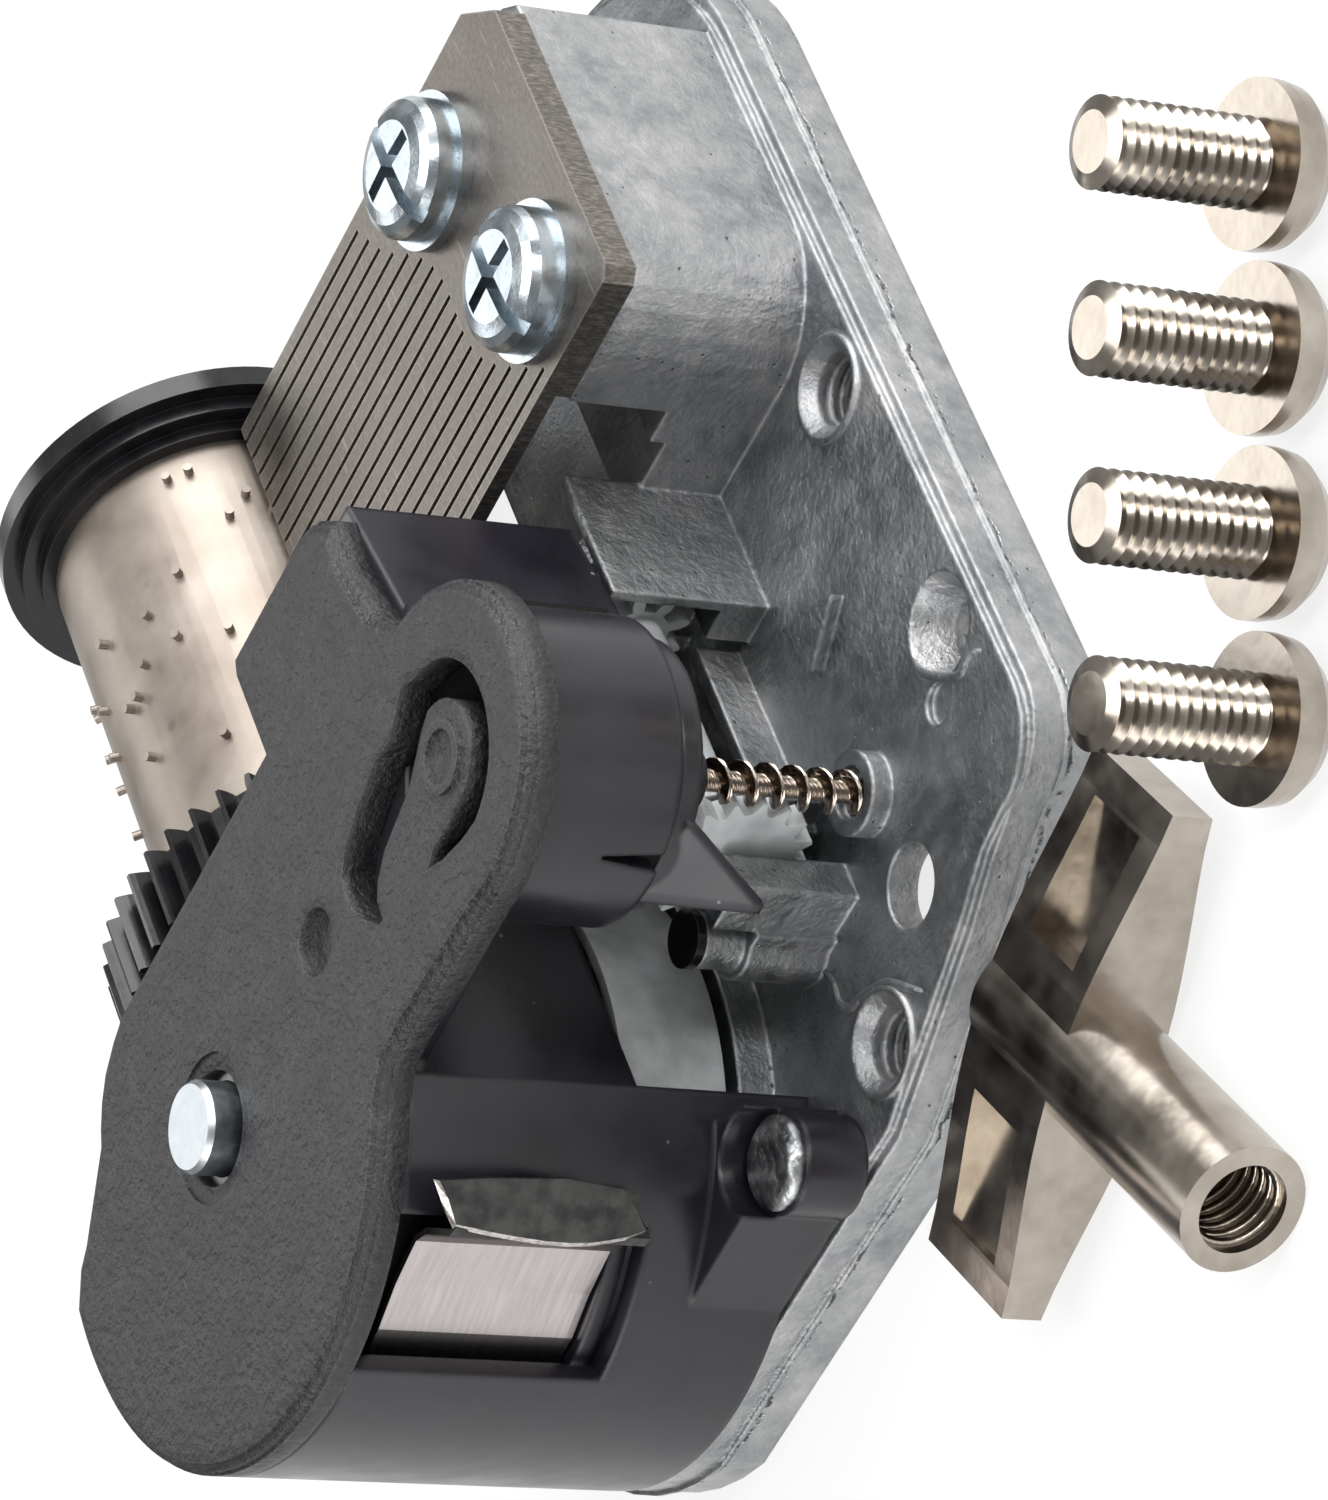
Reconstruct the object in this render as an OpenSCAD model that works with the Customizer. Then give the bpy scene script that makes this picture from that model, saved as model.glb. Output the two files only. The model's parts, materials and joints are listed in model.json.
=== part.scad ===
// Wind-up cylinder music movement: cast base plate, tuned comb, pinned cylinder,
// mainspring housing with winding arbor, gear train, air-brake governor, and the
// loose winding key and mounting screws that go with it.  Millimetres, +Z up.
// The origin is on the underside of the base plate, near its middle.

/* [Base plate] */
// Thickness of the cast plate
plate_t = 3.2; // [2.5:0.1:4.5]
// Radius of an M3 tapped mounting hole
m3_r = 1.25; // [1.2:0.05:1.5]
// Height of the flash line left by the casting die
flash_z = 1.6; // [1:0.1:2.5]

/* [Comb] */
// Number of tuned teeth
teeth = 18; // [12:1:30]
// Tooth pitch along the cylinder
pitch = 0.85; // [0.7:0.01:1.0]
// Width of a sawn slot between teeth
slot_w = 0.2; // [0.12:0.01:0.3]
// Side of the comb nearest the housing
comb_x0 = 0.6; // [0:0.1:2]
// Overall width of the comb
comb_w = 14.8; // [12:0.1:17]
// Back edge of the comb
comb_y0 = -19.2; // [-20:0.1:-18]
// Line of the tooth tips
comb_y1 = 2.45; // [1:0.01:4]
// Top face of the comb
comb_z = 12; // [10:0.1:14]
// Thickness of the clamped body
comb_t = 1.2; // [0.8:0.1:2]
// Thickness of a tooth
tooth_t = 0.62; // [0.3:0.01:1]
// Radius of a comb screw shank
screw_r = 1.25; // [1:0.05:1.5]

/* [Cylinder] */
// Height of the cylinder axis
axis_z = 10.6; // [9:0.1:12]
// Distance of the cylinder axis behind the origin
axis_y = 8.6; // [7:0.1:10]
// Radius of the pinned tube
tube_r = 5.8; // [5:0.01:7]
// Wall of the tube
tube_t = 0.4; // [0.2:0.05:0.8]
// Gear end of the tube
tube_x0 = -2.05; // [-3:0.05:-1]
// Flange end of the tube
tube_x1 = 15.4; // [14:0.1:17]
// How far a pin stands out
pin_h = 0.33; // [0.2:0.01:0.5]
// Radius of a pin
pin_r = 0.17; // [0.1:0.01:0.3]
// Radius of the cylinder shaft
shaft_r = 0.8; // [0.6:0.05:1.2]

/* [Gears] */
// Module of the spur train
mod = 0.363; // [0.3:0.001:0.5]
// Teeth on the cylinder gear
n_gear = 46; // [36:1:60]
// Teeth on the idler
n_idler = 18; // [14:1:22]
// Teeth on the worm wheel pinion
n_pinion = 9; // [9:1:14]
// Module of the crown drive
crown_mod = 0.45; // [0.35:0.01:0.6]
// Teeth on the crown wheel
n_crown = 36; // [24:1:48]
// Teeth on the cylinder's drive pinion
n_drive = 10; // [8:1:14]
// Teeth on the worm wheel
n_worm = 17; // [15:1:20]
// Play left between meshing teeth, along the pitch line
play = 0.24; // [0.1:0.01:0.4]

/* [Governor] */
// Axis of the governor, across
gov_x = -14.4; // [-16:0.1:-13]
// Axis of the governor, back
gov_y = -10.75; // [-12:0.05:-9]
// Lead of the worm
lead = 1.0; // [0.8:0.05:1.2]
// Outer radius of the worm
worm_r = 0.775; // [0.6:0.005:1]
// Core radius of the worm
core_r = 0.38; // [0.3:0.01:0.5]
// Radius of the fan disc
fan_r = 4.5; // [3.5:0.1:5]
// Reach of a fan wing
wing_r = 5.8; // [5:0.1:6]

/* [Spring housing] */
// Axis of the winding arbor, across
arbor_x = -13.7; // [-15:0.1:-12]
// Axis of the winding arbor, back
arbor_y = 8; // [7:0.1:9]
// Outer radius of the drum
drum_r = 11.6; // [10:0.1:12]
// Wall of the drum
wall = 0.8; // [0.6:0.1:1.2]
// Flat side next to the cylinder gear
flat_x = -5.9; // [-7:0.1:-5]
// Underside of the top cover
cover_z = 18.3; // [17:0.1:19]
// Thickness of the top cover
cover_t = 1.2; // [0.8:0.1:1.6]
// Turns of mainspring strip
spring_turns = 7; // [4:1:10]
// Thickness of the mainspring strip
strip_t = 0.22; // [0.15:0.01:0.4]

/* [Winding] */
// Radius of the arbor
arbor_r = 1.6; // [1.4:0.05:2]
// Radius of the arbor's threaded end
thread_r = 1.5; // [1.4:0.05:2]
// Depth of the well the key stem enters
well_h = 3.6; // [3:0.1:4]
// Radius of the well
well_r = 2.9; // [2.5:0.1:4]
// Outer radius of the key stem
stem_r = 2.2; // [2:0.1:3]
// Length of the key wing
wing_l = 18; // [16:0.5:28]
// Length of the key stem
stem_l = 9; // [8:0.5:14]
// Length of a mounting screw under its head
mount_l = 6; // [5:1:10]

/* [Hidden] */
// running clearance on a radius
run = 0.04;
// runout of the arbor's thread, below the shaft
relief_l = 0.7;
fine = 48;
cx1 = comb_x0 + comb_w;
post_x = tube_x1 + 2.5;
// edges of the plate, set by the housing, the comb and the cylinder
plate_left = arbor_x - drum_r + 0.9;
plate_right = post_x + 4;
plate_front = comb_y0 - 0.4;
plate_back = arbor_y + drum_r + 0.4;
gear_r = n_gear * mod / 2;
idler_r = n_idler * mod / 2;
pinion_r = n_pinion * mod / 2;
drive_r = n_drive * crown_mod / 2;
crown_r = 9.35;
crown_z = 5.0;
// the crown is turned so that a tooth lies under the cylinder axis
crown_turn = asin((axis_y - arbor_y) / 8.2);
wheel_r = n_worm * lead / (2 * PI);
wheel_tip = wheel_r + 0.14;
gear_w = [-5.4, tube_x0];
train_w = [-4.3, -2.4];
// worm wheel axis, set by the worm
ww_y = gov_y + core_r + 0.05 + wheel_tip;
ww_z = 7.15;
// idler axis, found from its two centre distances
gear_idler = gear_r + idler_r;
idler_pinion = idler_r + pinion_r;
span = norm([ww_y - axis_y, ww_z - axis_z]);
along = (pow(gear_idler, 2) - pow(idler_pinion, 2) + pow(span, 2)) / (2 * span);
aside = sqrt(max(0, pow(gear_idler, 2) - pow(along, 2)));
dir = [ww_y - axis_y, ww_z - axis_z] / span;
id_y = axis_y + dir[0] * along + dir[1] * aside;
id_z = axis_z + dir[1] * along - dir[0] * aside;
cover_top = cover_z + cover_t;
arbor_top = cover_top + 0.9;
collar_r = arbor_r + 0.38;
hub_r = 2.7;
spring_z = [9.9, 17.2];
floor_z = [9.2, 9.8];
hood_z = 13.4;
hood_r = 5.1;
front_y = -1.1;
lug = [arbor_x, arbor_y] + (drum_r + 2.12) * [cos(226.8), sin(226.8)];
lug2 = [flat_x - 2.5, 18];
// tower beside the worm wheel and its stud
stud = [-15.97, -4.93];
tower_z = 6.3;
comb_screw = [[12.3, -12.95], [3.9, -15.6]];
tapped = [[-1.55, -17.1], [plate_left + 2.8, -6.45]];
through = [[-12.9, -17.2], [gov_x - 4.15, gov_y - 0.05]];

// ---------- shared shapes ----------

function inv_deg(a) = tan(a) * 180 / PI - a;

// half the angle a tooth covers at radius r
function tooth_half(r, rp, n, gap) =
    90 / n - gap / (4 * rp) * 180 / PI + inv_deg(20)
    - (r > rp * cos(20) ? inv_deg(acos(rp * cos(20) / r)) : 0);

// outline of a spur gear with one tooth centred on the angle "phase"
function gear_outline(n, rp, tip, root, gap, phase) = [
    for (i = [0 : n - 1]) for (s = [-1, 1]) for (k = [0 : 4])
        let (q = s < 0 ? k : 4 - k,
             r = root + (tip - root) * q / 4,
             a = phase + 360 * i / n + s * tooth_half(r, rp, n, gap))
        [r * cos(a), r * sin(a)]
];

// angle that sets gear 2 in mesh with gear 1 across the direction "theta"
function mate(theta, n1, phase1, n2) =
    theta + 180 - (0.5 - (theta - phase1) * n1 / 360) * 360 / n2;

// lay a flat outline in the YZ plane and draw it along X between x[0] and x[1]
module along_x(x) {
    translate([x[0], 0, 0])
        rotate([90, 0, 90])
            linear_extrude(x[1] - x[0]) children();
}

// round bar along X
module rod_x(x, y, z, r) {
    translate([x[0], y, z])
        rotate([0, 90, 0])
            cylinder(h = x[1] - x[0], r = r, $fn = fine);
}

// upright round bar
module rod_z(z, x, y, r) {
    translate([x, y, z[0]])
        cylinder(h = z[1] - z[0], r = r, $fn = fine);
}

module block(x, y, z) {
    translate([x[0], y[0], z[0]])
        cube([x[1] - x[0], y[1] - y[0], z[1] - z[0]]);
}

module spur(n, rp, x, y, z, phase) {
    translate([0, y, z])
        along_x(x)
            polygon(gear_outline(n, rp, rp + 0.85 * mod, rp - 1.15 * mod, play, phase));
}

// ---------- base plate ----------

function arc(c, r, a0, a1, n = 10) = [
    for (i = [0 : n]) let (a = a0 + (a1 - a0) * i / n) [c[0] + r * cos(a), c[1] + r * sin(a)]
];

module plate_outline(grow = 0) {
    l = plate_left - grow;
    r = plate_right + grow;
    f = plate_front - grow;
    b = plate_back + grow;
    polygon(concat(
        arc([-17.4, f + 2.9], 2.9, 176, 270, 7),
        arc([r - 8, f + 8], 8, 270, 360, 12),
        arc([r - 4, b - 4], 4, 0, 90, 8),
        arc([l + 11, b - 11.4], 11.4, 90, 165, 10),
        [[l, -4.9], [l + 0.35, -5.9], [l + 0.9, -7.6], [l + 1.65, -9.8],
         [l + 2.5, -12.3], [l + 3.5, -14.6]]));
}

module comb_block_outline() {
    polygon(concat(
        arc([comb_x0 + 4.2, comb_y0 + 4.4], 4.2, 180, 270, 8),
        [[cx1 - 1, comb_y0 + 0.2], [cx1 - 0.3, comb_y0 + 1], [cx1 - 0.3, -12.4], [comb_x0, -13.4]]));
}

module base_plate() {
    color("silver") difference() {
        union() {
            linear_extrude(plate_t - 0.3) plate_outline();
            linear_extrude_at([plate_t - 0.31, plate_t]) plate_outline(-0.35);
            translate([0, 0, flash_z - 0.1]) linear_extrude(0.2) plate_outline(0.12);
            // comb block: high seat and lower step toward the cylinder
            translate([0, 0, plate_t]) linear_extrude(comb_z - comb_t - plate_t)
                comb_block_outline();
            block([comb_x0, cx1 - 0.3], [-13.5, -12], [plate_t, 7]);
            block([comb_x0, cx1 - 0.3], [-13.5, -8.6], [plate_t, 6.4]);
            block([comb_x0 + 0.2, cx1 - 0.3], [-8.7, -7.4], [plate_t, 5]);
            // boss and low ring wall under the drive wheel
            rod_z([plate_t, crown_z], arbor_x, arbor_y, 5);
            difference() {
                rod_z([plate_t, crown_z - 0.4], arbor_x, arbor_y, crown_r + 0.2);
                rod_z([plate_t - 1, crown_z], arbor_x, arbor_y, crown_r - 0.8);
                block([flat_x, 5], [-10, 20], [plate_t - 1, crown_z]);
            }
            // post that carries the flange end of the cylinder
            block([post_x, post_x + 1.8], [axis_y - 2.2, axis_y + 2.2], [plate_t, axis_z]);
            rod_x([post_x, post_x + 1.8], axis_y, axis_z, 2.2);
            block([post_x, post_x + 2.6], [axis_y - 3.4, axis_y + 3.4], [plate_t, 5]);
            // brackets for the idler and worm wheel shafts
            block([-1.5, -0.3], [ww_y - 1.2, id_y + 1.2], [plate_t, ww_z]);
            block([-1.5, -0.3], [id_y - 1.2, id_y + 1.2], [plate_t, id_z]);
            rod_x([-1.5, -0.3], ww_y, ww_z, 1.2);
            rod_x([-1.5, -0.3], id_y, id_z, 1.2);
            block([-6.7, -5.7], [id_y - 1.2, id_y + 1.2], [plate_t, id_z]);
            rod_x([-6.7, -5.7], id_y, id_z, 1.2);
            block([-12.8, -11.6], [ww_y - 1.2, ww_y + 1.2], [plate_t, ww_z]);
            rod_x([-12.8, -11.6], ww_y, ww_z, 1.2);
            // governor footstep, tower with its stud, and low rib
            rod_z([plate_t, plate_t + 0.8], gov_x, gov_y, 1.45);
            rod_z([plate_t, tower_z], stud[0], stud[1], 1.25);
            rod_z([tower_z - 0.1, tower_z + 1.5], stud[0], stud[1], 0.95);
            block([-16.95, gov_x - 0.75], [stud[1] - 1.4, stud[1]], [plate_t, tower_z]);
            block([-16.7, gov_x - 0.75], [ww_y - 0.75, stud[1] - 1.3], [plate_t, ww_z + 0.75]);
            block([-2, 0.8], [-5.6, -4.9], [plate_t, 4.2]);
            // guard wall before the pinion, its foot, and a rib under the hub
            block([-4.8, comb_x0 + 0.2], [ww_y - pinion_r - 0.8, ww_y - pinion_r - 0.42], [plate_t, 9.3]);
            block([-4.8, comb_x0 + 0.2], [ww_y - pinion_r - 0.5, -8.2], [plate_t, 4.9]);
            block([-13.1, -4.6], [ww_y - 0.1, ww_y + 0.4], [plate_t, 4.9]);
            translate([0, 0, plate_t]) linear_extrude(0.5)
                polygon([[-6.6, -10.6], [-7.9, -13.6], [-9.1, -11.1]]);
            for (p = tapped) rod_z([plate_t, plate_t + 0.15], p[0], p[1], 1.9);
        }
        // window under the cylinder, its gear and its flange
        block([-6.3, post_x], [axis_y - 7.9, axis_y + 7.9], [-1, plate_t + 2]);
        // slot for the worm wheel, pocket for the pinion
        rod_x([gov_x - 0.7, gov_x + 0.7], ww_y, ww_z, wheel_tip + 0.1);
        rod_x([train_w[0] - 0.2, train_w[1] + 0.2], ww_y, ww_z, pinion_r + 0.6);
        // well and bearing for the winding arbor
        rod_z([-1, well_h], arbor_x, arbor_y, well_r);
        rod_z([0, 6], arbor_x, arbor_y, arbor_r + run);
        for (p = tapped) {
            rod_z([-1, 5], p[0], p[1], m3_r);
            translate([p[0], p[1], plate_t - 0.3]) cylinder(h = 0.5, r1 = m3_r, r2 = 1.75, $fn = fine);
        }
        rod_z([-1, 5], through[0][0], through[0][1], 1.15);
        translate([through[0][0], through[0][1], plate_t - 1.4])
            cylinder(h = 1.5, r1 = 1.15, r2 = 1.85, $fn = fine);
        rod_z([-1, 5], through[1][0], through[1][1], 1.45);
        // hollow under the thin web round the second through hole
        translate([0, 0, -1]) linear_extrude(plate_t - 0.2) hull() {
            translate(through[1]) circle(1.9, $fn = fine);
            translate(through[1] + [2.2, 2.1]) circle(1.9, $fn = fine);
        }
        // crescent mark of an ejector pin
        rod_z([plate_t - 0.3, 5], -14.9, -15.6, 0.7);
        for (p = comb_screw) rod_z([4, 12], p[0], p[1], screw_r);
        for (p = [lug, lug2]) rod_z([0.8, 5], p[0], p[1], 0.9);
        rod_z([1.8, 5], gov_x, gov_y, 0.45 + run);
        rod_z([plate_t + 0.4, 5], gov_x, gov_y, worm_r + 0.15);
        rod_x([post_x - 1, post_x + 5], axis_y, axis_z, shaft_r + run);
        rod_x([-2, 0], ww_y, ww_z, 0.5 + run);
        rod_x([-13, -11], ww_y, ww_z, 0.5 + run);
        rod_x([gov_x - 1.7, gov_x], ww_y, ww_z, 0.5 + run);
        rod_x([-2, 0], id_y, id_z, 0.5 + run);
        rod_x([-7, -5], id_y, id_z, 0.5 + run);
    }
}

// ---------- comb ----------

function tooth_x(k) = cx1 - 0.245 - pitch * k;

function slot_x(k) = tooth_x(k) - pitch / 2;

// slots reach further back for the longer bass teeth and swing round the washers
function root_y(k) = comb_y0 + 11.3 - 0.37 * k - (k < 2.5 ? 0 : 0.85 * sin(28.8 * (k - 2.5)));

module comb() {
    color("gray") difference() {
        translate([0, 0, comb_z - comb_t]) linear_extrude(comb_t)
            polygon([[comb_x0, comb_y0 + 0.5], [comb_x0 + 0.4, comb_y0], [cx1 - 1.7, comb_y0],
                [cx1, comb_y0 + 1.7], [cx1, comb_y1], [comb_x0, comb_y1]]);
        // the teeth are ground thinner from below
        translate([0, 0, comb_z - comb_t - 1]) linear_extrude(comb_t - tooth_t + 1)
            polygon([[comb_x0 - 1, -13.9], [cx1 + 1, root_y(0) + 0.4], [cx1 + 1, 5], [comb_x0 - 1, 5]]);
        for (k = [0 : teeth - 2])
            block([slot_x(k) - slot_w / 2, slot_x(k) + slot_w / 2], [root_y(k), comb_y1 + 1],
                [comb_z - 2, comb_z + 1]);
        for (p = comb_screw) rod_z([5, 15], p[0], p[1], screw_r + 0.15);
    }
}

// lead weights that tune the eight lowest teeth
module tuning_leads() {
    color("dimgray") for (k = [teeth - 8 : teeth - 1])
        block([tooth_x(k) - 0.27, tooth_x(k) + 0.27], [-1.6 - 0.12 * (k - teeth + 8), 1.5],
            [comb_z - tooth_t - 0.5 - 0.06 * (k - teeth + 8), comb_z - tooth_t]);
}

module comb_washers() {
    color("lightsteelblue") for (p = comb_screw) difference() {
        rod_z([comb_z, comb_z + 0.45], p[0], p[1], 2.8);
        rod_z([comb_z - 1, comb_z + 1], p[0], p[1], screw_r + 0.05);
    }
}

module comb_screws() {
    color("lightsteelblue") for (p = comb_screw) translate([p[0], p[1], 0]) difference() {
        union() {
            rod_z([5, comb_z + 0.45], 0, 0, screw_r);
            translate([0, 0, comb_z + 0.45]) rotate_extrude($fn = fine)
                polygon([[0, 0], [2.5, 0], [2.5, 0.75], [2.35, 1.05], [2.05, 1.25], [1.6, 1.38], [0, 1.45]]);
        }
        translate([-3, -0.28, comb_z + 1.15]) cube([6, 0.56, 1]);
        translate([-0.28, -1.5, comb_z + 0.95]) cube([0.56, 3, 1.4]);
    }
}

// ---------- spring housing ----------

// drum outline, cut flat beside the gear and across one corner
module drum_outline(r, flat) {
    intersection() {
        translate([arbor_x, arbor_y]) circle(r, $fn = 96);
        polygon([[-40, -10], [flat, -10], [flat, 11], [flat - 4.7, 17.4], [flat - 5.1, 18.2],
            [flat - 6.1, 19.1], [-10, 40], [-40, 40]]);
    }
}

// room of the mainspring: the drum, cut straight where the governor stands
module chamber_outline(d) {
    intersection() {
        drum_outline(drum_r - d, flat_x - d);
        translate([-40, front_y + d]) square([40, 40]);
    }
}

// sector of the plane seen from the arbor, from angle a to angle b
module sector(a, b, r = 30) {
    translate([arbor_x, arbor_y])
        polygon(concat([[0, 0]], [for (i = [0 : 8]) let (q = a + (b - a) * i / 8)
            [r * cos(q), r * sin(q)]]));
}

module train_outline(d) {
    polygon([[-1.4 - d, -9.2 + d], [-1.4 - d, -2], [flat_x, -1.4], [flat_x, 2], [-13, 6],
        [-22.2 + d, 1.2], [-19.6 + d, -1.8], [-19.4 + d, -9], [gov_x, gov_y],
        [-8.9, -11.2 + d], [-7.2, -11.1 + d]]);
}

module spring_housing() {
    color("#26242b") difference() {
        union() {
            // drum wall, missing where it faces the governor
            linear_extrude_at([plate_t, cover_z]) difference() {
                drum_outline(drum_r, flat_x);
                drum_outline(drum_r - wall, flat_x - wall);
                sector(238, 440);
            }
            // straight upper walls of the mainspring room and the shelf under it
            linear_extrude_at([floor_z[0], cover_z]) difference() {
                chamber_outline(0);
                chamber_outline(wall);
            }
            linear_extrude_at(floor_z) chamber_outline(0.2);
            // feet with their gussets
            rod_z([plate_t, 5.5], lug[0], lug[1], 1.75);
            linear_extrude_at([plate_t, 6.8])
                polygon([lug + [-1.3, 0.9], lug + [1.6, -1.0], lug + [2.9, 2.0], lug + [0.3, 5.2],
                    lug + [-1.45, 8.0]]);
            rod_z([plate_t, 5.5], lug2[0], lug2[1], 1.75);
            linear_extrude_at([plate_t, 4.8])
                polygon([lug2 + [-0.8, -1.5], lug2 + [0.4, 1.7], [-13, arbor_y + drum_r - 0.1],
                    [-13, arbor_y + drum_r - wall + 0.1]]);
            // deck over the gear train
            linear_extrude_at([cover_z - 0.8, cover_z]) difference() {
                train_outline(0.3);
                translate([gov_x, gov_y]) circle(hood_r - wall, $fn = 64);
                chamber_outline(0.3);
                polygon([[-2.6, -8.5], [-7.2, -9.2], [-9.2, -10.2], [-8.7, -13], [-2, -12]]);
            }
            // skirts around the gear train
            linear_extrude_at([9.7, cover_z])
                polygon([[-1.6, -9.6], [-1.6, -2.4], [-2.2, -2.4], [-2.2, -9.1],
                    [-7.4, -9.9], [-7.4, -10.4]]);
            linear_extrude_at([hood_z, cover_z])
                polygon([[-7.2, -10.6], [-7.2, -10], [-9.6, -10.4], [-10.4, -14.2],
                    [-9.6, -13.4], [-8.9, -11.8]]);
            // hood over the fan
            rod_z([hood_z, cover_z], gov_x, gov_y, hood_r);
        }
        rod_z([hood_z - 1, cover_z + 1], gov_x, gov_y, hood_r - wall);
        // slit in the hood
        translate([gov_x, gov_y, hood_z - 0.5]) rotate([0, 0, 190])
            translate([3.5, 0, 0]) rotate([90, 0, 90]) linear_extrude(3)
                polygon([[-0.5, -0.5], [0.5, -0.5], [0.15, 2.7], [0, 2.7]]);
        // window onto the mainspring
        linear_extrude_at([9, cover_z + 1]) difference() {
            sector(186, 215, 20);
            translate([arbor_x, arbor_y]) circle(drum_r - wall, $fn = 96);
        }
        rod_z([9, 11], arbor_x, arbor_y, arbor_r + 0.3);
        rod_x([-8, -5], axis_y, axis_z, shaft_r + run);
        for (p = [lug, lug2]) rod_z([0, 6], p[0], p[1], 0.9);
        rod_z([5.5, 8.8], lug[0], lug[1], 1.8);
    }
}

module linear_extrude_at(z) {
    translate([0, 0, z[0]]) linear_extrude(z[1] - z[0]) children();
}

module housing_rivets() {
    color("gainsboro") for (p = [lug, lug2]) {
        rod_z([0.8, 5.5], p[0], p[1], 0.9);
        translate([p[0], p[1], 5.5])
            cylinder(h = 0.3, r = 1.6, $fn = fine);
        translate([p[0], p[1], 5.8])
            cylinder(h = 0.2, r1 = 1.6, r2 = 1.35, $fn = fine);
    }
}

// ---------- top cover ----------

module cover_outline(d) {
    drum_outline(drum_r - d, flat_x + 0.2 - d);
    polygon([[flat_x + 0.2 - d, 10.8], [-6 - d, 12.2 - d], [-6.5 - d, 13.3 - d], [-7.1 - d, 14.05 - d],
        [-7.8 - d, 14.65 - d], [-8.7 - d, 15.2 - d], [-9.3 - d, 16 - d], [arbor_x, arbor_y]]);
    translate([gov_x, gov_y]) circle(5.75 - d, $fn = 72);
    polygon([[-1.7 - d, -8.9 + d], [-1.5 - d, -8.2], [-1.5 - d, -2.4], [-2 - d, -1.8 - d],
        [flat_x + 0.2 - d, -1.8 - d], [flat_x + 0.2 - d, 6], [arbor_x, arbor_y],
        [-22.7 + d, 1.1], [-21 + d, -0.8], [-20 + d, -2.2], [-19.9 + d, -3.6], [-20 + d, -9.6],
        [gov_x, gov_y], [-8.9, -11.2 + d], [-7.4, -10.1 + d], [-4.6, -9.6 + d], [-2.6 - d, -9.8 + d]]);
}

module cover_opening() {
    polygon(concat(arc([gov_x - 0.1, gov_y + 0.05], 3.3, 190, 352, 18),
        [[-10.85, -10.2], [-11.7, -8.7], [-11.6, -7.4], [-12.0, -5.7], [-12.5, -4.4], [-13.1, -3.7],
         [-14.0, -3.55], [-15.0, -3.8], [-16.1, -4.6], [-16.6, -7.5], [-17.3, -9.0], [-17.65, -10.3]]));
}

// boss over the governor, carried by an arm across the opening
module cover_tongue() {
    polygon(concat(arc([gov_x, gov_y], 1.9, 180, 355, 14),
        [[-12.75, -10.2], [-13.2, -9.4], [-13.7, -8.5], [-14.0, -7.0], [-14.2, -6.1], [-14.7, -5.2],
         [-15.2, -4.8], [-16.2, -4.7], [-17.3, -5.5], [-16.9, -7.4], [-16.4, -8.6], [-16.45, -9.6]]));
}

module top_cover() {
    color("#4a4a4d") difference() {
        union() {
            difference() {
                union() {
                    linear_extrude_at([cover_z, cover_top - 0.45]) cover_outline(0);
                    linear_extrude_at([cover_top - 0.46, cover_top - 0.2]) cover_outline(0.12);
                    linear_extrude_at([cover_top - 0.21, cover_top]) cover_outline(0.38);
                }
                linear_extrude_at([cover_z - 1, cover_top + 1]) cover_opening();
            }
            linear_extrude_at([cover_z, cover_top - 0.15]) cover_tongue();
            rod_z([cover_top - 0.3, cover_top], gov_x, gov_y, 1.25);
        }
        // footstep for the upper end of the governor shaft
        rod_z([cover_z - 1, cover_top - 0.3], gov_x, gov_y, 0.5 + run);
        rod_z([cover_top - 0.18, cover_top + 1], gov_x, gov_y, 0.9);
        rod_z([cover_z - 1, cover_top + 1], arbor_x, arbor_y, collar_r);
        rod_z([cover_top - 0.12, cover_top + 1], arbor_x, arbor_y, collar_r + 0.6);
        rod_z([cover_top - 0.5, cover_top + 1], -13.6, -1.1, 1.15);
    }
}

module post_cap() {
    color("#222222") 
        rod_z([tower_z + 1.5, tower_z + 1.85], stud[0], stud[1], 1);
}

// ---------- mainspring ----------

// the slanting wall beside the gear: its direction and distance seen from the arbor
cut_a = atan2(4.7, 6.4);
cut_d = (flat_x - wall - arbor_x) * cos(cut_a) + (11 - arbor_y) * sin(cut_a);

// room from the arbor to the housing wall in the direction a
function room(a) = min(drum_r - wall - 0.5,
    cos(a) > 0.05 ? (flat_x - wall - 0.3 - arbor_x) / cos(a) : 99,
    sin(a) < -0.05 ? (front_y + wall + 0.3 - arbor_y) / sin(a) : 99,
    cos(a - cut_a) > 0.05 ? (cut_d - 0.3) / cos(a - cut_a) : 99);

function polar(r, a) = [r * cos(a), r * sin(a)];

function coil(t) = let (a = 200 - 360 * spring_turns * (1 - t))
    polar(hub_r + 0.3 + (room(a) - hub_r - 0.3) * pow(t, 1.15), a);

// the outer end leaves through the window and folds back on the drum
spring_path = concat(
    [for (i = [0 : spring_turns * 36]) coil(i / (spring_turns * 36))],
    [polar(drum_r - 1.0, 206), polar(drum_r - 0.7, 210), polar(drum_r - 0.1, 212.3),
     polar(drum_r + 0.8, 213.4),
     polar(drum_r + 1.4, 214), polar(drum_r + 1.65, 214.9), polar(drum_r + 1.3, 215.9),
     polar(drum_r + 0.7, 217.4),
     polar(drum_r + 0.5, 221)]);

// point beside a path, at the distance d from its point i
function beside(p, i, d) = let (a = p[max(0, i - 1)], b = p[min(len(p) - 1, i + 1)])
    p[i] + d * [b[1] - a[1], a[0] - b[0]] / norm(b - a);

module mainspring() {
    n = len(spring_path) - 1;
    color("darkgray") translate([arbor_x, arbor_y, spring_z[0]])
        linear_extrude(spring_z[1] - spring_z[0])
            polygon(concat([for (i = [0 : n]) beside(spring_path, i, strip_t / 2)],
                [for (i = [n : -1 : 0]) beside(spring_path, i, -strip_t / 2)]));
}

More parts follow.
